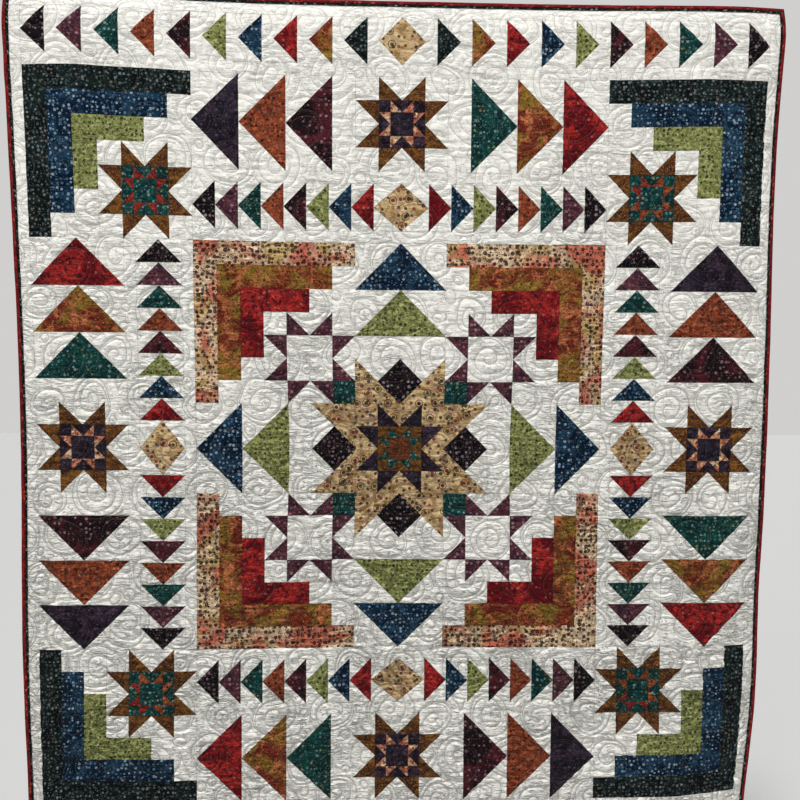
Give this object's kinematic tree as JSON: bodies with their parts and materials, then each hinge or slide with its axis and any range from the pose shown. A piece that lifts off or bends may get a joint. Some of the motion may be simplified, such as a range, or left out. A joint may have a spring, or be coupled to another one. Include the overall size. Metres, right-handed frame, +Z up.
{
  "type": "hanging pieced star quilt",
  "caption": "Hanging quilted cloth sheet with pieced star, geese and log-cabin blocks, a narrow flange and a folded binding, drawn back at its top and sides.",
  "frame": {"origin": "middle of the outer fold of the top binding, where the quilt hangs from", "axes": "+Z up along the quilt's height, +X to the viewer's right, the pieced front faces -Y"},
  "size_m": [1.71, 0.0416, 1.971],
  "materials": {
    "quilt": "pieced printed cotton, quilted all over",
    "binding": "dark red printed cotton",
    "flange": "dark spruce printed cotton"
  },
  "bodies": {
    "root": {"quilt_body": "quilt", "binding_bottom": "binding", "binding_right": "binding", "binding_top": "binding", "binding_left": "binding", "flange_bottom": "flange", "flange_right": "flange", "flange_top": "flange", "flange_left": "flange"}
  },
  "joints": []
}
